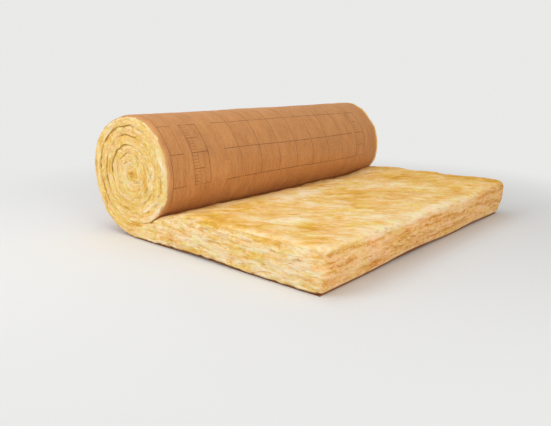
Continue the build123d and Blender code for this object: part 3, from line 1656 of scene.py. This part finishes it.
    def ramp(self, value: Socket, stops: tuple[tuple[float, Colour], ...]) -> Socket:
        """Colour that a value takes between stops, lowest first.

        Args:
            value: The value.
            stops: Values and the colours taken there.

        Returns:
            The colour.
        """
        made = self.node("ShaderNodeValToRGB")
        self.feed(made.inputs["Fac"], value)
        points = made.color_ramp.elements
        points[0].position, points[1].position = stops[0][0], stops[-1][0]
        points[0].color, points[1].color = (*stops[0][1], 1.0), (*stops[-1][1], 1.0)
        for place, colour in stops[1:-1]:
            points.new(place).color = (*colour, 1.0)
        return made.outputs["Color"]

    def bump(self, height: Socket, distance: float,
             strength: float = 1.0, normal: object = None) -> Socket:
        """Normal of a bumpy surface whose height is given as a share of a distance.

        Args:
            height: Height of the surface, from 0 to 1.
            distance: Distance that a height of 1 stands for.
            strength: Share of the bump that shows.
            normal: A coarser bump below this one.

        Returns:
            The normal.
        """
        made = self.node("ShaderNodeBump")
        self.fill(made, {"Distance": distance, "Strength": strength, "Height": height})
        if normal is not None:
            self.feed(made.inputs["Normal"], normal)
        return made.outputs["Normal"]

    def seen_directly(self) -> Socket:
        """1 for rays from the camera, and for those that a glossy or clear surface sends on.

        Returns:
            The share, 0 or 1.
        """
        path = self.node("ShaderNodeLightPath").outputs
        sent_on = self.math("MAXIMUM", path["Is Glossy Ray"], path["Is Transmission Ray"])
        return self.math("MAXIMUM", path["Is Camera Ray"], sent_on)

    def end_with(self, output: str, share: Socket, first: Socket, second: Socket) -> None:
        """Mixes two shaders into the graph's output.

        Args:
            output: Name of the output node.
            share: How much of the second shows.
            first: The first shader.
            second: The second shader.
        """
        mixed = self.node("ShaderNodeMixShader")
        self.fill(mixed, {0: share, 1: first, 2: second})
        self.feed(self.tree.nodes[output].inputs["Surface"], mixed.outputs["Shader"])


class Shader(Nodes):
    """A material's node graph, round its principled shader."""

    def __init__(self, name: str) -> None:
        """Makes the material with its principled shader.

        Args:
            name: Name of the material.
        """
        self.material = bpy.data.materials.new(name)
        self.material.use_nodes = True
        super().__init__(self.material.node_tree)
        self.surface = self.tree.nodes["Principled BSDF"]


@dataclass(frozen=True)
class WoolFinish:
    """Pale yellow glass wool: cream where it is lofted, golden in patches, with painted shade in
    its seams, cracks and hollows.
    """

    white: Colour = (1.0, 0.82, 0.52)
    pale: Colour = (0.98, 0.705, 0.345)
    cream: Colour = (0.94, 0.590, 0.200)
    golden: Colour = (0.86, 0.48, 0.078)
    deep: Colour = (0.71, 0.37, 0.060)
    hollow: Colour = (0.90, 0.76, 0.52)  # shade between the tufts
    # painted shade in the seams between the turns: olive, and dark where deepest
    olive: Colour = (0.70, 0.43, 0.110)
    dark: Colour = (0.54, 0.30, 0.070)
    # painted shade in the cracks between the layers
    crack_shade: Colour = (0.62, 0.29, 0.070)
    hem: Colour = (0.30, 0.112, 0.026)  # shade where the wool meets its facing on the floor
    lemon: Colour = (0.96, 1.0, 0.76)
    rosy: Colour = (1.0, 0.93, 0.93)
    front_face_shade: Colour = (1.0, 0.84, 0.74)  # painted warm shade of the free end's face
    dusk: Colour = (0.77, 0.65, 0.55)  # shade between the layers of that face
    ends: Colour = (0.960, 0.970, 0.985)  # of the roll's ends
    roughness: float = 0.92
    gloss: float = 0.1
    sheen: float = 0.10
    glow: float = 0.12
    glow_reach: float = 3.0 * MM
    grain: float = 38.0  # degrees from X to the way the tufts lie
    level: float = 0.504
    contrast: float = 1.08
    crumple: float = 0.65  # share of the crumpled pattern on the roll's ends
    lofted: tuple[Octave, ...] = (  # the top, whose tufts lie slanting across the strip
        Octave((5.0, 8.0, 22.0), 0.16, 3.0, 0.60, 0.5),
        Octave((13.0, 30.0, 60.0), 0.34, 3.0, 0.60, 0.8),
        Octave((28.0, 80.0, 105.0), 0.30, 3.0, 0.62, 1.0),
        Octave((60.0, 210.0, 210.0), 0.20, 2.0, 0.65, 1.0),
    )
    crumpled: tuple[Octave, ...] = (  # the roll's ends
        Octave((12.0, 12.0, 60.0), 0.28, 3.0, 0.55, 0.8),
        Octave((30.0, 30.0, 80.0), 0.34, 3.0, 0.58, 1.3),
        Octave((62.0, 62.0, 150.0), 0.38, 2.0, 0.60, 1.2),
    )
    lumpy: tuple[Octave, ...] = (  # the flat stretch's sides
        Octave((6.0, 6.0, 46.0), 0.26, 3.0, 0.55, 0.6),
        Octave((15.0, 15.0, 90.0), 0.32, 2.0, 0.55, 1.2),
        Octave((42.0, 42.0, 84.0), 0.24, 3.0, 0.58, 1.2),
        Octave((105.0, 105.0, 270.0), 0.18, 2.0, 0.60, 1.0),
    )
    streaked: tuple[Octave, ...] = (  # the free end's face
        Octave((4.5, 4.5, 56.0), 0.36, 3.0, 0.50, 0.5),
        Octave((15.0, 15.0, 110.0), 0.32, 3.0, 0.60, 0.9),
        Octave((50.0, 50.0, 120.0), 0.32, 3.0, 0.60, 1.2),
    )

    def build(self) -> Material:
        """Makes the material, which follows the strip's own coordinates.

        Returns:
            The material.
        """
        shader = Shader("glass_wool")
        strip = shader.attribute("strip", "Vector")
        lie = shader.turned(strip, -self.grain)
        cut = shader.attribute("cut")
        wound = shader.math("SUBTRACT", cut, shader.attribute("ragged"))
        tufts, layers = shader.stacked(lie, self.lofted), self.layers(shader, strip, wound)
        height = shader.between(cut, tufts, layers)
        colour = shader.ramp(self.warmth(shader, height, wound), (
            (0.34, self.deep), (0.41, self.golden), (0.48, self.cream), (0.545, self.pale),
            (0.62, self.white),
        ))
        colour = self.tinted(shader, strip, wound, colour)
        colour = self.shaded(shader, strip, height, colour)
        self.set_gloss(shader)
        threads = shader.noise(lie, (130.0, 420.0, 520.0), 2.0, 0.6, 1.0)
        coarse = shader.bump(height, 22.0 * MM, 0.8)
        fine = shader.bump(threads, 1.2 * MM, 0.8, coarse)
        shader.fill(shader.surface, {"Base Color": colour, "Normal": fine})
        return shader.material

    def layers(self, shader: Shader, strip: Socket, wound: Socket) -> Socket:
        """Height of the cut wool, whose tufts lie in wavy layers along the strip.

        Args:
            shader: The node graph.
            strip: Place in the flat strip.
            wound: 1 on the roll's ends and 0 on the flat stretch.

        Returns:
            The height, from 0 to 1.
        """
        lumpy, streaked = shader.stacked(strip, self.lumpy), shader.stacked(strip, self.streaked)
        sides = shader.between(shader.attribute("front"), lumpy, streaked)
        crumple = shader.math("MULTIPLY", wound, self.crumple)
        return shader.between(crumple, sides, shader.stacked(strip, self.crumpled))

    def warmth(self, shader: Shader, height: Socket, wound: Socket) -> Socket:
        """How pale the wool is from its tufts and patches, with painted light and shade by how far
        it stands out.

        Args:
            shader: The node graph.
            height: Height of the tufts, from 0 to 1.
            wound: 1 on the roll's ends and 0 elsewhere.

        Returns:
            The place on the scale from deep to white.
        """
        cut, ragged = shader.attribute("cut"), shader.attribute("ragged")
        gain = shader.plus(self.contrast, (cut, 0.05), (ragged, 0.15),
                           (shader.attribute("front"), -0.50))
        spread = shader.math("MULTIPLY", shader.math("SUBTRACT", height, 0.5), gain)
        # painted light and shade: raised wool paler, sunk wool deeper
        toned = shader.plus(spread, (shader.attribute("relief"), 0.035),
                            (shader.attribute("tone"), -0.115),
                            # paler band above the facing, painted as light bounced from the floor
                            (shader.attribute("floor_bounce"), 0.06), (ragged, 0.015))
        return shader.plus(shader.math("ADD", toned, self.level), (wound, 0.003))

    def tinted(self, shader: Shader, strip: Socket, wound: Socket, colour: Socket) -> Socket:
        """Wool with its lemon and rosy places and painted shade in its hollows.

        Args:
            shader: The node graph.
            strip: Place in the flat strip.
            wound: 1 on the roll's ends and 0 elsewhere.
            colour: The wool's colour.

        Returns:
            The new colour.
        """
        uneven = shader.noise(strip, (16.0, 16.0, 34.0), 2.0, 0.6, 0.8)
        hue = shader.plus(uneven, (wound, 0.075))
        hollows = shader.remap(shader.attribute("relief"), 0.0, -0.8)
        for tint, share, strength in (
                (self.lemon, shader.remap(hue, 0.52, 0.62), 0.85),
                (self.rosy, shader.remap(hue, 0.48, 0.38), 0.85),
                (self.hollow, hollows, 0.7),
                (self.ends, wound, 1.0)):
            colour = shader.mix(colour, tint, share, strength, Blend.TINT)
        return colour

    def shaded(self, shader: Shader, strip: Socket, height: Socket, colour: Socket) -> Socket:
        """Wool with painted shade in its cracks, its seams and at its foot on the facing, and
        painted warm shade on the free end's face.

        Args:
            shader: The node graph.
            strip: Place in the flat strip.
            height: Height of the tufts, from 0 to 1.
            colour: The wool's colour.

        Returns:
            The new colour.
        """
        front = shader.attribute("front")
        split = shader.plus(shader.attribute("cut"), (front, -0.5))
        cracks = shader.math("MULTIPLY", self.cracks(shader, strip), split)
        colour = shader.mix(colour, self.crack_shade, cracks)
        # painted warm shade on the free end's face, deeper between its layers
        colour = shader.mix(colour, self.front_face_shade, front, blend=Blend.TINT)
        low = shader.math("MULTIPLY", shader.remap(height, 0.52, 0.40), front)
        colour = shader.mix(colour, self.dusk, low, blend=Blend.TINT)
        colour = shader.mix(colour, self.hem, shader.attribute("hem"))
        crease = shader.attribute("crease")
        colour = shader.mix(colour, self.olive, shader.remap(crease, 0.05, 0.60))
        return shader.mix(colour, self.dark, shader.remap(crease, 0.55, 1.0))

    def cracks(self, shader: Shader, strip: Socket) -> Socket:
        """Painted shade in thin splits between the layers, broken off where the layers hold
        together.

        Args:
            shader: The node graph.
            strip: Place in the flat strip.

        Returns:
            The share of painted crack shade.
        """
        level = shader.noise(strip, (8.0, 8.0, 50.0), 2.0, 0.5, 0.7)
        lines = shader.remap(shader.from_middle(level), 0.020, 0.004)
        parted = shader.remap(shader.noise(strip, (12.0, 12.0, 24.0), 2.0, 0.6), 0.50, 0.62)
        return shader.math("MULTIPLY", shader.math("MULTIPLY", lines, parted), 0.80)

    def set_gloss(self, shader: Shader) -> None:
        """Sets the matt, slightly glowing surface of loose glass fibres.

        Args:
            shader: The node graph.
        """
        shader.fill(shader.surface, {
            "Roughness": self.roughness, "Specular IOR Level": self.gloss,
            "Sheen Weight": self.sheen, "Sheen Roughness": 0.5, "Sheen Tint": (*self.cream, 1.0),
            "Subsurface Weight": self.glow, "Subsurface Radius": (1.0, 0.6, 0.25),
            "Subsurface Scale": self.glow_reach,
        })


@dataclass(frozen=True)
class FibreFinish:
    """Single glass fibres: pale, with golden ones among them."""

    pale: Colour = (0.95, 0.72, 0.38)
    golden: Colour = (0.82, 0.52, 0.16)
    roughness: float = 0.55
    patch: float = 90.0  # noise features in a metre

    def build(self) -> Material:
        """Makes the material, which changes from fibre to fibre by its place.

        Returns:
            The material.
        """
        shader = Shader("glass_fibre")
        place = shader.node("ShaderNodeTexCoord").outputs["Object"]
        share = shader.noise(place, (self.patch, self.patch, self.patch), 2.0)
        colour = shader.mix(self.golden, self.pale, shader.remap(share, 0.40, 0.60))
        shader.fill(shader.surface, {"Base Color": colour, "Roughness": self.roughness})
        return shader.material


@dataclass(frozen=True)
class Ruling:
    """The cutting grid printed on the facing, with its strips of plain ruler marks."""

    pitch: float = 0.100
    line: float = 2.3 * MM
    marks_turn: float = 6.565  # one line of the grid crosses the roll's side here
    grid_from: float = 0.316
    grid_to: float = 0.914
    cross_from: float = 0.244
    cross_to: float = 1.006
    edge_line: float = 0.021
    tick_end: float = 0.076
    scales: tuple[Point2, ...] = ((0.106, 0.172), (1.024, 1.090))
    scale_every: float = 0.400
    grid_run: float = 0.302  # length of the grid's lines along the strip, in every scale_every
    scale_pitch: float = 0.010
    scale_line: float = 1.2 * MM


@dataclass(frozen=True)
class KraftFinish:
    """Brown kraft paper with a satin face, fine creases and a printed cutting grid."""

    paper: Colour = (0.625, 0.280, 0.090)
    pale: Colour = (0.73, 0.380, 0.160)
    deep: Colour = (0.545, 0.232, 0.072)
    shade: Colour = (0.330, 0.120, 0.036)  # of the edges that lie below the wool on the floor
    ink: Colour = (0.22, 0.080, 0.028)
    roughness: float = 0.6
    gloss: float = 0.25
    curl: float = 12.0 * MM  # reach of the paler strip along the paper's near edge
    ruling: Ruling = Ruling()

    def build(self, strip: Strip) -> Material:
        """Makes the material, which follows the flat sheet's layout.

        Args:
            strip: The flat strip, for the places of its turns.

        Returns:
            The material.
        """
        shader = Shader("kraft_paper")
        layout = shader.node("ShaderNodeUVMap", uv_map="layout").outputs["UV"]
        parts = shader.node("ShaderNodeSeparateXYZ")
        shader.feed(parts.inputs[0], layout)
        along, across = parts.outputs["X"], parts.outputs["Y"]
        clouds = shader.noise(layout, (9.0, 16.0, 1.0), 4.0, 0.6)
        fibres = shader.noise(layout, (120.0, 280.0, 1.0), 4.0, 0.65, 0.8)
        creases = shader.noise(layout, (7.0, 70.0, 1.0), 3.0, 0.6, 0.4)
        wrinkles = shader.noise(layout, (9.0, 170.0, 1.0), 2.0, 0.6, 1.0)
        worn = shader.noise(layout, (30.0, 30.0, 1.0), 3.0, 0.6)
        folds = shader.remap(shader.from_middle(creases), 0.0, 0.035, 1.0, 0.0)
        printed = shader.math("MULTIPLY", self.print_mask(shader, strip, along, across),
                              shader.remap(worn, 0.35, 0.60, 0.55, 0.95))
        colour = shader.mix(self.deep, self.paper, shader.remap(clouds, 0.30, 0.70))
        for other, share, strength in (
                (self.pale, shader.remap(fibres, 0.50, 0.68), 0.48),
                (self.ink, shader.remap(fibres, 0.46, 0.32), 0.14),
                # darker in the folds and along the wrinkles: painted shade
                (self.ink, folds, 0.16),
                (self.ink, shader.remap(wrinkles, 0.54, 0.68), 0.16),
                (self.ink, printed, 1.0),
                (self.pale, shader.remap(across, self.curl, 0.0, 0.0, 0.7), 1.0),
                (self.shade, shader.attribute("tucked"), 1.0)):
            colour = shader.mix(colour, other, share, strength)
        coarse = shader.bump(shader.plus(creases, (folds, -0.35)), 2.2 * MM, 0.8)
        wrinkled = shader.bump(wrinkles, 1.0 * MM, 0.8, coarse)
        fine = shader.bump(fibres, 0.15 * MM, 0.6, wrinkled)
        shader.fill(shader.surface, {"Base Color": colour, "Roughness": self.roughness,
                                     "Specular IOR Level": self.gloss, "Normal": fine})
        return shader.material

    def print_mask(self, shader: Shader, strip: Strip, along: Socket, across: Socket) -> Socket:
        """Where ink lies on the paper, from 0 to 1.

        Args:
            shader: The node graph.
            strip: The flat strip.
            along: Length along the sheet.
            across: Distance from the near cut end.

        Returns:
            The share of ink.
        """
        rule = self.ruling
        start = strip.length_at(rule.marks_turn)
        cross = shader.lines(along, rule.pitch, start, rule.line)
        shift = rule.scale_every + rule.pitch - start % rule.scale_every
        shifted = shader.math("ADD", along, shift)
        place = shader.math("FLOORED_MODULO", shifted, rule.scale_every)
        ticks = shader.limited(cross, across, (rule.edge_line, rule.tick_end))
        marks = shader.limited(cross, across, (rule.cross_from, rule.cross_to))
        ruled = shader.lines(across, rule.pitch, rule.grid_from, rule.line)
        reach = (rule.grid_from - rule.line, rule.grid_to + rule.line)
        grid = shader.limited(ruled, across, reach)
        grid = shader.math("MULTIPLY", grid, shader.band(place, -rule.line, rule.grid_run))
        edge = shader.line_at(across, rule.edge_line, rule.line)
        total = shader.together(ticks, marks, grid, edge)
        within = shader.band(place, -rule.line, 2.0 * rule.pitch + rule.line)
        small = shader.lines(along, rule.scale_pitch, start, rule.scale_line)
        large = shader.lines(along, rule.scale_pitch * 5.0, start, rule.line)
        for low, high in rule.scales:
            third = low + (high - low) / 3.0
            scale = shader.together(
                shader.limited(small, across, (low, third)),
                shader.limited(large, across, (low, 2.0 * third - low)),
                shader.limited(cross, across, (low, high)),
                shader.line_at(across, low, rule.line),
                shader.line_at(across, high, rule.line),
            )
            total = shader.together(total, shader.math("MULTIPLY", scale, within))
        return total


@dataclass(frozen=True)
class Softbox:
    """A large soft lamp that faces a point."""

    name: str
    location: Point3
    size: float
    watts: float
    aim: Point3 = (0.0, 0.0, 0.1)

    def build(self) -> None:
        """Makes the lamp."""
        data = bpy.data.lights.new(self.name, "AREA")
        data.size = self.size
        data.energy = self.watts
        lamp = link(bpy.data.objects.new(self.name, data))
        towards = Vector(self.aim) - Vector(self.location)
        turned = towards.to_track_quat("-Z", "Y").to_matrix().to_4x4()
        lamp.matrix_world = Matrix.Translation(self.location) @ turned


@dataclass(frozen=True)
class Viewpoint:
    """Camera at the photograph's viewing angle."""

    location: Point3 = (1.2179, -1.6562, 0.5287)
    azimuth: float = 40.279  # degrees to the left of +Y
    elevation: float = 13.883  # degrees that the camera looks down
    roll: float = 0.9115
    lens: float = 37.155
    sensor: float = 36.0

    def build(self) -> None:
        """Makes the camera and makes it the scene's."""
        data = bpy.data.cameras.new("photo_view")
        data.sensor_fit = "HORIZONTAL"
        data.sensor_width = self.sensor
        data.lens = self.lens
        data.clip_start = 0.05
        camera = link(bpy.data.objects.new("photo_view", data))
        side, down, tilt = (math.radians(a) for a in (self.azimuth, self.elevation, self.roll))
        forward = Vector((-math.sin(side) * math.cos(down), math.cos(side) * math.cos(down),
                          -math.sin(down)))
        level = forward.cross(Vector((0.0, 0.0, 1.0))).normalized()
        upright = level.cross(forward)
        right = level * math.cos(tilt) + upright * math.sin(tilt)
        up = upright * math.cos(tilt) - level * math.sin(tilt)
        turned = Matrix((right, up, -forward)).transposed().to_4x4()
        camera.matrix_world = Matrix.Translation(self.location) @ turned
        bpy.context.scene.camera = camera


@dataclass(frozen=True)
class Studio:
    """Plain pale floor and plain soft light."""

    floor_size: float = 30.0
    floor_drop: float = 0.3 * MM
    floor_colour: Colour = (0.76, 0.76, 0.75)
    world_level: float = 0.53
    backdrop: Colour = (0.82, 0.82, 0.81)
    fade_from: float = 0.75  # distance from the object at which the floor starts to turn into it
    fade_to: float = 1.8
    lamps: tuple[Softbox, ...] = (
        Softbox("overhead", (-0.7, -0.5, 2.5), 2.2, 19.5),
        Softbox("near_side", (-0.9, -2.5, 1.5), 1.6, 28.5),
        Softbox("front_side", (2.7, -1.1, 1.0), 1.6, 27.5),
    )

    def build(self) -> None:
        """Makes the floor, the world and the lamps."""
        bpy.context.scene.view_settings.view_transform = "Standard"
        mesh = bmesh.new()
        bmesh.ops.create_grid(mesh, x_segments=1, y_segments=1, size=self.floor_size / 2.0)
        bmesh.ops.translate(mesh, vec=(0.0, 0.0, -self.floor_drop), verts=mesh.verts[:])
        floor = finished(mesh, "studio_floor")
        floor.data.materials.append(self.floor_material())
        self.build_world()
        for lamp in self.lamps:
            lamp.build()

    def floor_material(self) -> Material:
        """Makes the floor's matt material, which turns into the backdrop far from the object.

        Returns:
            The material.
        """
        shader = Shader("studio_floor")
        shader.fill(shader.surface, {"Base Color": (*self.floor_colour, 1.0), "Roughness": 0.9,
                                     "Specular IOR Level": 0.1})
        reach = shader.node("ShaderNodeVectorMath", operation="LENGTH")
        shader.fill(reach, {0: shader.node("ShaderNodeTexCoord").outputs["Object"]})
        far = shader.remap(reach.outputs["Value"], self.fade_from, self.fade_to)
        backdrop = shader.node("ShaderNodeEmission")
        shader.fill(backdrop, {"Color": (*self.backdrop, 1.0)})
        share = shader.math("MULTIPLY", far, shader.seen_directly())
        shader.end_with("Material Output", share, shader.surface.outputs["BSDF"],
                        backdrop.outputs["Emission"])
        return shader.material

    def build_world(self) -> None:
        """Makes the even light from all round, with a pale backdrop where it is seen directly."""
        world = bpy.data.worlds.new("studio_world")
        world.use_nodes = True
        nodes = Nodes(world.node_tree)
        light, backdrop = nodes.tree.nodes["Background"], nodes.node("ShaderNodeBackground")
        nodes.fill(light, {"Color": (1.0, 1.0, 1.0, 1.0), "Strength": self.world_level})
        nodes.fill(backdrop, {"Color": (*self.backdrop, 1.0)})
        nodes.end_with("World Output", nodes.seen_directly(), light.outputs["Background"],
                       backdrop.outputs["Background"])
        bpy.context.scene.world = world


def declare(piece: Object, slot: Slot, material: Material, *nodes: Node) -> None:
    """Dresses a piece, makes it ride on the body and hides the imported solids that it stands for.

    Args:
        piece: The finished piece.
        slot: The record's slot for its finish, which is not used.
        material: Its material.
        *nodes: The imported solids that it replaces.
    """
    piece.data.materials.append(material)
    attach(piece, BODY)
    if nodes:
        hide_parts(*(node.value for node in nodes))
    evaluated = piece.evaluated_get(bpy.context.evaluated_depsgraph_get())
    evaluated.data.calc_loop_triangles()
    LOG.info("%s: %d triangles", piece.name, len(evaluated.data.loop_triangles))


def main() -> None:
    """Builds the camera, the studio and the pieces in order."""
    logging.basicConfig(level=logging.INFO, format="%(name)s: %(message)s")
    Viewpoint().build()
    Studio().build()
    section = Section()
    strip = Strip(section)
    sway = Sway(section)
    edges = Edges(section)
    wool = WoolBlanket(strip, sway, edges).build()
    declare(wool, Slot.WOOL, WoolFinish().build(), Node.WOOL)
    declare(LooseFibres(wool).build(), Slot.WOOL, FibreFinish().build())
    paper = KraftFacing(strip, sway, edges).build()
    declare(paper, Slot.PAPER, KraftFinish().build(strip), Node.PAPER)


if __name__ == "__main__":
    main()
